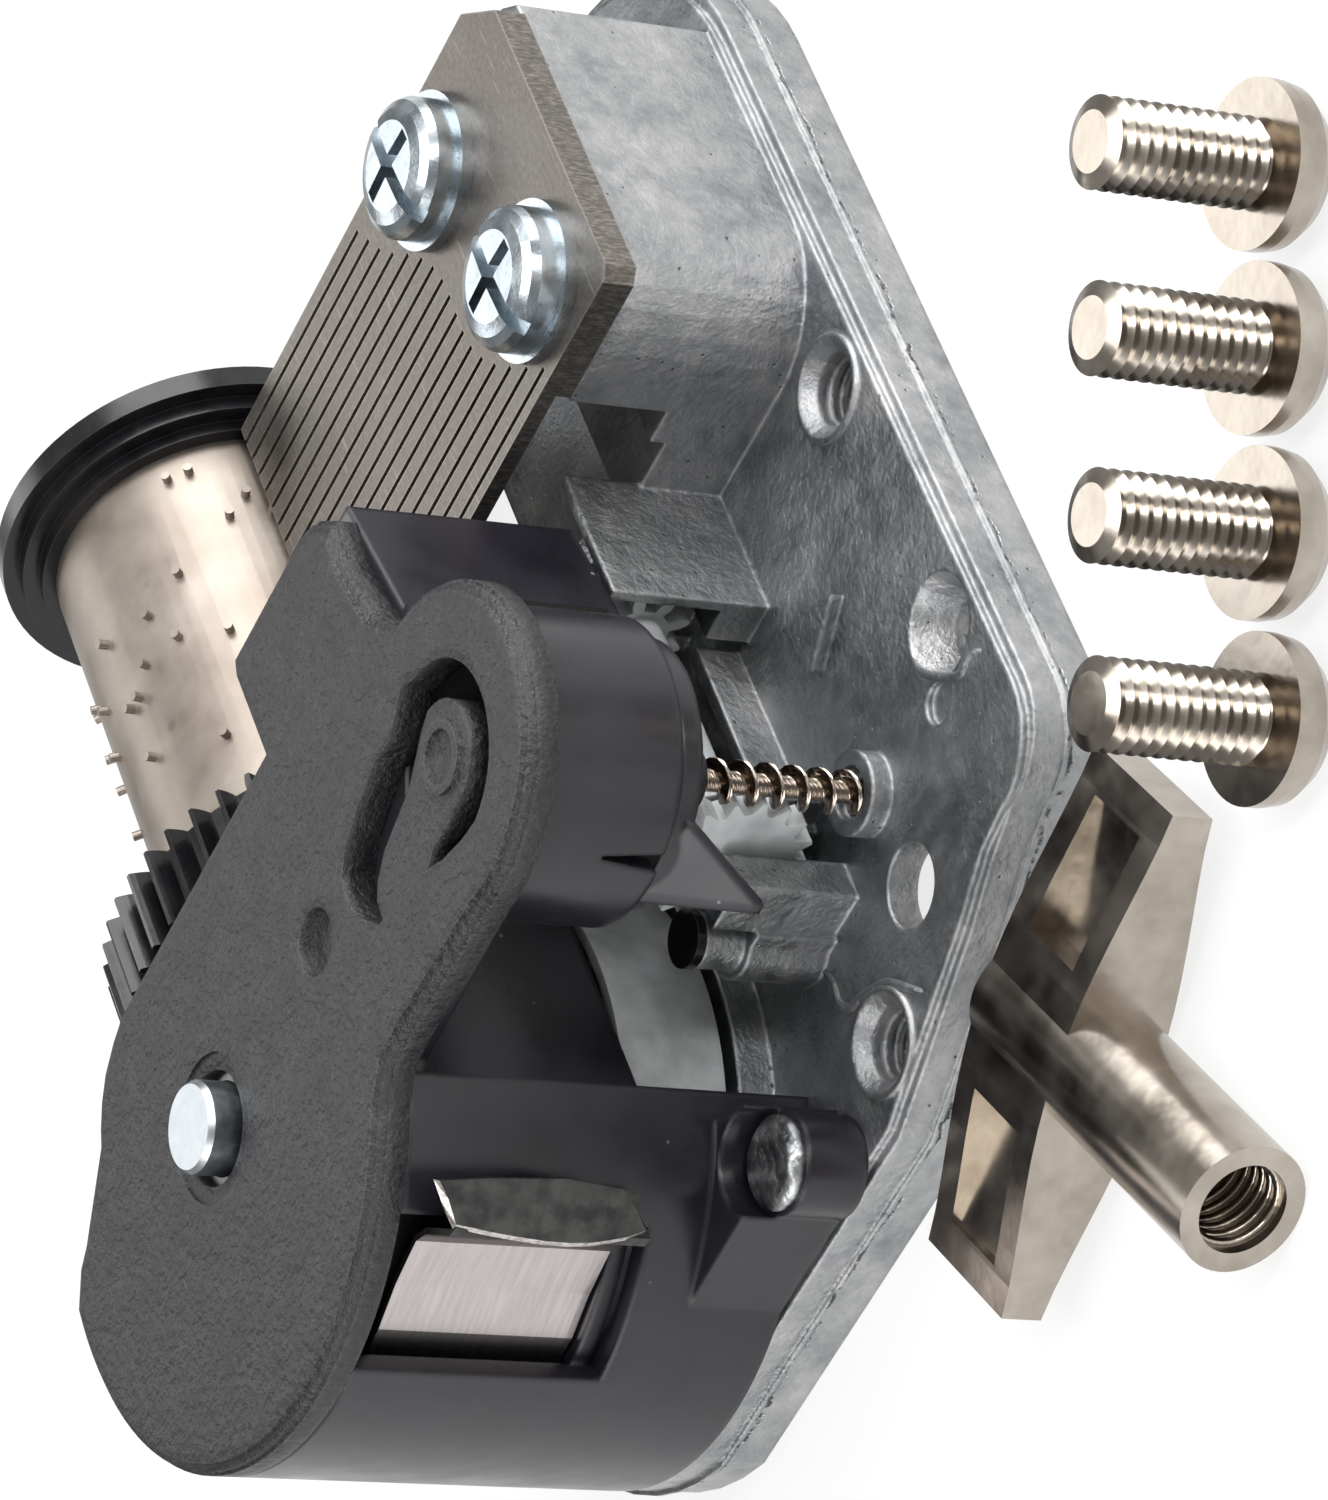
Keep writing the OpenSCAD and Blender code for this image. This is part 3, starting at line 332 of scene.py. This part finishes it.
def worm_bronze():
    """Rolled worm, nickel over bronze: dark flanks, polished crests lightened also as a painted highlight."""
    mat, tree, shader, mm = new_material("worm_nickel_bronze")
    cloud = noise(tree, mm, 1.5, 3.0)
    tint = ramp(tree, cloud, [(0.3, "#5f4e45"), (0.7, "#85776a")])
    # crests lightened towards #d8cdc0: polish, and a painted highlight
    tint = blend(tree, sharp_edge_mask(tree, 0.08), tint, "#d8cdc0")
    plug(tree, shader, Base_Color=tint, Metallic=1.0, Roughness=fit(tree, cloud, 0.3, 0.7, 0.14, 0.24))
    bump(tree, shader, cloud, 0.02, 0.4)
    return mat


def spring_strip():
    """Rolled spring strip: pale pinkish grey in the drum, dark annealed scale on the end outside."""
    mat, tree, shader, mm = new_material("rolled_spring_steel")
    lines = noise(tree, mm, 1.0, 4.0, 0.6, (0.5, 0.5, 7.0))
    spots = noise(tree, mm, 1.4, 4.0)
    pale = ramp(tree, lines, [(0.3, "#b3acab"), (0.7, "#c6bfbe")])
    scale = ramp(tree, spots, [(0.35, "#3c3d3c"), (0.65, "#555654")])
    flat = add(tree, "ShaderNodeVectorMath", {"operation": "MULTIPLY"}, i0=mm, i1=(1, 1, 0))
    reach = add(tree, "ShaderNodeVectorMath", {"operation": "LENGTH"},
                i0=add(tree, "ShaderNodeVectorMath", {"operation": "SUBTRACT"},
                       i0=flat.outputs[0], i1=tuple(DRUM_AXIS)).outputs[0])
    outside = fit(tree, reach.outputs["Value"], DRUM_RADIUS - 0.3, DRUM_RADIUS - 0.1, 0.0, 1.0)
    rough = fit(tree, outside, 0.0, 1.0, 0.30, 0.46)
    plug(tree, shader, Base_Color=blend(tree, outside, pale, scale), Metallic=1.0, Roughness=rough)
    bump(tree, shader, join_math(tree, "ADD", lines, spots), 0.02, 0.4)
    return mat


zinc = die_cast_zinc()
comb_steel = ground_comb_steel()
# zinc plating over pressed steel: bluish white, softly dented
plate = clouded_metal("bright_zinc_plate", (0.9, 4.0),
                      [(0.3, "#959ea4"), (0.6, "#b4bcc1"), (0.8, "#d2d7da")], (0.22, 0.34), (0.08, 0.5))
grained = moulded_nylon_grain()
gloss = moulded_nylon_gloss()
acetal_black = gear_nylon()
acetal_white = white_acetal()
nickel_tube = drawn_nickel()
worm_finish = worm_bronze()
# bright nickel on the loose pieces: warm, with slight ripples of the die
nickel_bright = clouded_metal("bright_nickel_plate", (0.5, 3.0),
                              [(0.3, "#9b9287"), (0.7, "#bbb3a8")], (0.17, 0.27), (0.07, 0.3))
strip = spring_strip()
# the strip's sheared edge, bright and torn
strip_edge = clouded_metal("sheared_edge", (5.0, 3.0, 0.6),
                           [(0.35, "#a39d9a"), (0.6, "#ded8d4")], (0.42, 0.42), (0.03, 0.6))
arbor_steel = clouded_metal("turned_steel", (1.1, 3.0),
                            [(0.3, "#969ca1"), (0.7, "#c0c5c8")], (0.3, 0.42), (0.04, 0.35))
# lead drops under the bass teeth: dull blue grey
lead = clouded_metal("tuning_lead", (1.5, 3.0), [(0.3, "#474a50"), (0.7, "#65686e")],
                     (0.55, 0.55), (0.04, 0.5), 0.8)
# rivets after peening: hammered facets with bright spots
peened = clouded_metal("peened_plated_steel", (1.4, 3.0, 0.5),
                       [(0.35, "#8d9092"), (0.6, "#b5b7b8"), (0.75, "#dadbdb")],
                       (0.26, 0.4), (0.22, 0.7, 0.35))

FINISH = {
    "base_plate": zinc, "comb": comb_steel, "tuning_leads": lead, "comb_washers": plate,
    "comb_screws": plate, "spring_housing": gloss, "housing_rivets": peened, "top_cover": grained,
    "post_cap": acetal_black, "mainspring": strip, "winding_arbor": arbor_steel,
    "arbor_collar": acetal_black, "drive_wheel": acetal_white, "clutch_spring": strip,
    "cylinder_tube": nickel_tube, "flange_cap": acetal_black, "cylinder_gear": acetal_black,
    "cylinder_shaft": arbor_steel, "idler_gear": acetal_white, "idler_shaft": arbor_steel,
    "worm_wheel": acetal_white, "worm_wheel_shaft": arbor_steel, "governor_worm": worm_finish,
    "governor_fan": gloss, "winding_key": nickel_bright, "mounting_screws": nickel_bright,
}
# edge breaks of castings, mouldings and turned parts, in millimetres
EDGE_BREAK = {
    "base_plate": 0.12, "spring_housing": 0.12, "top_cover": 0.12, "comb": 0.04,
    "comb_screws": 0.1, "comb_washers": 0.06, "housing_rivets": 0.2, "winding_arbor": 0.1,
    "flange_cap": 0.08, "winding_key": 0.2, "mounting_screws": 0.06, "governor_fan": 0.06,
    "drive_wheel": 0.04, "arbor_collar": 0.05, "post_cap": 0.06,
}

for name, material in FINISH.items():
    obj = nodes[name]
    obj.data.materials.clear()
    obj.data.materials.append(material)
    if name in EDGE_BREAK:
        edge = obj.modifiers.new("edge_break", "BEVEL")
        edge.width = EDGE_BREAK[name] * MM
        edge.segments = 2
        edge.limit_method = "ANGLE"
        edge.angle_limit = math.radians(35)


# ---------------------------------------------------------------- threads and casting flash

def surface(name, verts, faces):
    """A new object from points in mm."""
    mesh = bpy.data.meshes.new(name)
    mesh.from_pydata([[c * MM for c in v] for v in verts], [], faces)
    obj = bpy.data.objects.new(name, mesh)
    bpy.context.scene.collection.objects.link(obj)
    return obj


def thread_ridge(name, body, mouth, way, radius, length, material):
    """Helical ridge standing inward from the wall of a bore that runs from mouth along way."""
    across = way.orthogonal().normalized()
    aside = way.cross(across)
    pitch = THREAD_PITCH
    steps = int(length / pitch * THREAD_FACETS)
    verts, faces = [], []
    for i in range(steps + 1):
        angle = 2 * math.pi * i / THREAD_FACETS
        ray = across * math.cos(angle) + aside * math.sin(angle)
        along = 0.4 * pitch + (length - 0.8 * pitch) * i / steps
        fade = min(1.0, i / THREAD_FACETS * 2, (steps - i) / THREAD_FACETS * 2)
        for shift, inward in ((-0.38, -0.04), (0.0, THREAD_DEPTH * fade), (0.38, -0.04)):
            verts.append(mouth + way * (along + shift * pitch) + ray * (radius - inward))
    for i in range(steps):
        for j in range(3):
            k = (j + 1) % 3
            faces.append((3 * i + j, 3 * i + k, 3 * i + 3 + k, 3 * i + 3 + j))
    faces += [(0, 2, 1), (3 * steps, 3 * steps + 1, 3 * steps + 2)]
    ridge = surface(name, verts, faces)
    ridge.data.polygons.foreach_set("use_smooth", [True] * len(faces))
    ridge.data.materials.append(material)
    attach(ridge, body)


def record_mount(name):
    """Place, outward axis and dims of a mount in the record, in mm."""
    mount = next(m for m in frame["record"]["mounts"] if m["name"] == name)
    place = Vector(mount["pos_m"]) / MM
    return place, Vector(mount["axis"]).normalized(), mount["dims"]


def threads():
    """M3 threads of the two tapped holes and of the key's stem."""
    for name, body, finish in (("tapped_hole_front", "base", zinc), ("tapped_hole_side", "base", zinc),
                               ("key_thread", "key", nickel_bright)):
        place, outward, dims = record_mount(name)
        thread_ridge(name + "_ridge", body, place, -outward, dims["r_mm"], dims["length_mm"], finish)


def low_ridge(name, path, width, height, level, material, body):
    """Half-round bead lying at one level along a path of (x, y), tapered at both ends."""
    points = [Vector((x, y, level)) for x, y in path]
    smooth = []
    for i in range(len(points) - 1):
        before, here = points[max(i - 1, 0)], points[i]
        there, after = points[i + 1], points[min(i + 2, len(points) - 1)]
        for j in range(6):
            t = j / 6
            smooth.append(0.5 * ((2 * here) + (there - before) * t
                                 + (2 * before - 5 * here + 4 * there - after) * t * t
                                 + (3 * here - before - 3 * there + after) * t ** 3))
    smooth.append(points[-1])
    verts, faces, ring = [], [], 6
    last = len(smooth) - 1
    for i, place in enumerate(smooth):
        way = (smooth[min(i + 1, last)] - smooth[max(i - 1, 0)]).normalized()
        aside = Vector((way.y, -way.x, 0.0))
        grow = max(0.05, math.sin(math.pi * i / last) ** 0.5)
        for j in range(ring):
            turn = math.pi * j / (ring - 1)
            verts.append(place + aside * math.cos(turn) * width / 2 * grow
                         + Vector((0, 0, math.sin(turn) * height * grow - 0.02)))
    for i in range(last):
        for j in range(ring):
            k = (j + 1) % ring
            faces.append((ring * i + j, ring * i + ring + j, ring * i + ring + k, ring * i + k))
    faces += [tuple(range(ring)), tuple(reversed(range(ring * last, ring * last + ring)))]
    bead = surface(name, verts, faces)
    bead.data.polygons.foreach_set("use_smooth", [True] * len(faces))
    bead.data.materials.append(material)
    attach(bead, body)


CAST_RIDGES = {
    # name: path of (x, y), width, height
    "ridge_by_side_hole": ([(-16.2, -4.7), (-17.7, -5.3), (-18.7, -5.2), (-19.3, -5.6), (-19.5, -6.4),
                            (-20.1, -7.7), (-21.2, -8.7), (-21.9, -9.3)], 0.45, 0.16),
    "ridge_by_front_hole": ([(-12.4, -15.3), (-13.5, -15.6), (-14.6, -16.5), (-15.1, -17.2),
                             (-15.0, -18.0), (-15.4, -18.6)], 0.4, 0.14),
    "ridge_by_ejector": ([(-6.8, -10.6), (-7.6, -10.9), (-8.6, -11.0), (-8.6, -11.6)], 0.3, 0.14),
}


def cast_ridges():
    """Low beads that the die's inserts left round the screw holes and the ejector marks."""
    for name, (path, width, height) in CAST_RIDGES.items():
        low_ridge(name, path, width, height, PLATE_TOP, zinc, "base")


def outer_loop(obj, height):
    """Longest closed chain of mesh edges at one height, as points in mm."""
    mesh = bmesh.new()
    mesh.from_mesh(obj.data)
    level = [e for e in mesh.edges if all(abs(v.co.z / MM - height) < 0.004 for v in e.verts)]
    following = {}
    for edge in level:
        for here, there in (edge.verts, reversed(edge.verts)):
            following.setdefault(here.index, set()).add(there.index)
    points = {v.index: v.co / MM for e in level for v in e.verts}
    mesh.free()
    best, seen = [], set()
    for start in following:
        if start in seen:
            continue
        chain, current = [start], start
        seen.add(start)
        while True:
            steps = [n for n in following[current] if n not in seen]
            if not steps:
                break
            current = steps[0]
            seen.add(current)
            chain.append(current)
        if len(chain) > len(best):
            best = chain
    return [points[i] for i in best]


# chips of flash on a millimetre of edge
CHIPS_PER_MM = 1.6


def casting_flash():
    """Torn chips of flash along the die's parting line on the plate's edge."""
    rng = random.Random(11)
    loop = outer_loop(nodes["base_plate"], FLASH_TOP)
    if len(loop) < 4:
        return
    verts, faces = [], []
    for here, there in zip(loop, loop[1:] + loop[:1]):
        step = there - here
        if step.length < 0.2:
            continue
        way = step.normalized()
        out = Vector((way.y, -way.x, 0.0))
        if out.dot(here - PLATE_MIDDLE) < 0:
            out = -out
        for _ in range(int(step.length * CHIPS_PER_MM)):
            size = rng.uniform(0.12, 0.5)
            middle = here + way * rng.uniform(size, step.length - size) if step.length > 2 * size else here
            rise, thick = rng.uniform(0.05, 0.16), rng.uniform(0.02, 0.09)
            base = len(verts)
            foot = middle - out * 0.06 + Vector((0, 0, rng.uniform(-0.22, -0.02)))
            tip = foot + out * (0.06 + thick) + way * rng.uniform(-0.3, 0.3) * size
            verts += [foot - way * size, foot + way * size, foot + Vector((0, 0, rise)),
                      foot - Vector((0, 0, rise)), tip]
            faces += [(base, base + 2, base + 4), (base + 2, base + 1, base + 4),
                      (base + 1, base + 3, base + 4), (base + 3, base, base + 4),
                      (base, base + 3, base + 1, base + 2)]
    flash = surface("casting_flash", verts, faces)
    flash.data.materials.append(zinc)
    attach(flash, "base")


# outline of the mainspring's folded end: distance along the drum, height, in millimetres
SPRING_TAB = [
    (0.84, 18.19), (1.01, 16.25), (1.14, 13.37), (0.92, 11.25), (0.26, 10.64), (-0.57, 10.19),
    (-0.81, 10.81), (-0.95, 11.46), (-1.07, 12.12), (-1.12, 13.01), (-1.1, 13.92), (-1.01, 14.94),
    (-0.9, 15.95), (-0.8, 16.63), (-0.72, 17.26), (0.09, 17.77),
]
# its direction from the drum's axis in degrees, its outer face's distance from that axis, its
# thickness, and the width of its sheared edge
TAB_TURN, TAB_REACH, TAB_THICK, TAB_BURR = 218, 13.45, 0.22, 0.11
# number of the last point on the upper edge
TAB_UPPER = 4


def spring_tab():
    """Leaf-shaped outer end of the mainspring, laid back on the drum, with a bright sheared edge."""
    turn = math.radians(TAB_TURN)
    out, along = Vector((math.cos(turn), math.sin(turn), 0.0)), Vector((-math.sin(turn), math.cos(turn), 0.0))
    axis = Vector((DRUM_AXIS[0], DRUM_AXIS[1], 0.0))
    count, verts = len(SPRING_TAB), []
    for reach, burr in ((TAB_REACH, TAB_BURR), (TAB_REACH - TAB_THICK, 0.0)):
        for i, (a, z) in enumerate(SPRING_TAB):
            # the sheared edge shows below and at the top end of the strip, not above
            a += 1.5 * burr if i > TAB_UPPER else 0.0
            z -= burr if i in (0, count - 1) else 0.0
            verts.append(axis + out * reach + along * a + Vector((0, 0, z)))
    faces = [tuple(reversed(range(count))), tuple(range(count, 2 * count))]
    faces += [(i, (i + 1) % count, count + (i + 1) % count, count + i) for i in range(count)]
    tab = surface("spring_tab", verts, faces)
    for material in (strip, strip_edge):
        tab.data.materials.append(material)
    # the first two faces are the front and the back, the rest goes round the outline
    for face in tab.data.polygons:
        face.material_index = 1 if face.index > 2 + TAB_UPPER else 0
    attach(tab, "base")


# ---------------------------------------------------------------- floor, light, camera

def pale_floor():
    """White board under the movement: seen as white, and keeps the contact shadow."""
    corners = ((-1, -1), (1, -1), (1, 1), (-1, 1))
    floor = surface("floor_board", [(x * FLOOR_REACH, y * FLOOR_REACH, -FLOOR_DROP) for x, y in corners],
                    [(0, 1, 2, 3)])
    mat, tree, shader, _ = new_material("white_board")
    plug(tree, shader, Base_Color="#f4f4f4", Roughness=0.9)
    white = add(tree, "ShaderNodeEmission", Color=(1, 1, 1, 1), Strength=1.0)
    path = add(tree, "ShaderNodeLightPath")
    direct = join_math(tree, "MAXIMUM", path.outputs["Is Camera Ray"], path.outputs["Is Glossy Ray"])
    direct = join_math(tree, "MAXIMUM", direct, path.outputs["Is Transmission Ray"])
    share = join_math(tree, "MULTIPLY", direct, FLOOR_WHITE)
    mix = add(tree, "ShaderNodeMixShader", Fac=share, i1=shader.outputs[0], i2=white.outputs[0])
    tree.links.new(mix.outputs[0], tree.nodes["Material Output"].inputs["Surface"])
    floor.data.materials.append(mat)


# key light off the comb's tail, fill over the cover and from the drum side, one small spark:
# name, place, target, size, power
LAMPS = (
    ("key_softbox", (170, -190, 130), (0, -3, 8), (200, 200), 0.8),
    ("top_softbox", (40, -40, 260), (0, 0, 8), (200, 200), 0.5),
    ("left_softbox", (-220, 80, 120), (-5, 0, 8), (160, 200), 0.4),
    ("front_strip", (-60, -230, 40), (0, -5, 8), (60, 240), 0.3),
    ("back_softbox", (200, 190, 170), (0, 0, 12), (150, 110), 0.15),
    ("spark", (-60, -170, 210), (-5, 0, 8), (45, 45), 0.16),
)


def soft_lamp(name, place, target, size, power):
    """Rectangular area lamp in mm, aimed at target."""
    light = bpy.data.lights.new(name, "AREA")
    light.shape = "RECTANGLE"
    light.size, light.size_y = size[0] * MM, size[1] * MM
    light.energy = power
    lamp = bpy.data.objects.new(name, light)
    lamp.location = Vector(place) * MM
    way = Vector(place) - Vector(target)
    lamp.rotation_euler = way.to_track_quat("Z", "Y").to_euler()
    bpy.context.scene.collection.objects.link(lamp)


def studio_world():
    """White behind the piece, dimmer grey as the light it gives."""
    world = bpy.data.worlds.new("studio_world")
    bpy.context.scene.world = world
    world.use_nodes = True
    tree = world.node_tree
    grey = tree.nodes["Background"]
    grey.inputs["Color"].default_value = (1, 1, 1, 1)
    grey.inputs["Strength"].default_value = WORLD_FILL
    white = add(tree, "ShaderNodeBackground", Color=(1, 1, 1, 1), Strength=1.0)
    path = add(tree, "ShaderNodeLightPath")
    mix = add(tree, "ShaderNodeMixShader", Fac=path.outputs["Is Camera Ray"],
              i1=grey.outputs[0], i2=white.outputs[0])
    tree.links.new(mix.outputs[0], tree.nodes["World Output"].inputs["Surface"])


def product_camera():
    """Long lens from above the drum's side, turned so that the plate stands upright."""
    data = bpy.data.cameras.new("camera")
    data.lens = 192.0
    data.sensor_width = 36.0
    data.clip_start = 0.01
    data.clip_end = 10.0
    camera = bpy.data.objects.new("camera", data)
    right = Vector((-0.301152, -0.410194, -0.860842))
    up = Vector((0.718277, -0.691354, 0.078154))
    look = Vector((0.627205, 0.594786, -0.502836))
    turn = Matrix((right, up, -look)).transposed().to_4x4()
    camera.matrix_world = Matrix.Translation(Vector((-177.184, -166.302, 142.169)) * MM) @ turn
    bpy.context.scene.collection.objects.link(camera)
    bpy.context.scene.camera = camera


threads()
casting_flash()
cast_ridges()
spring_tab()
pale_floor()
studio_world()
for lamp in LAMPS:
    soft_lamp(*lamp)
product_camera()
bpy.context.scene.view_settings.view_transform = "Standard"
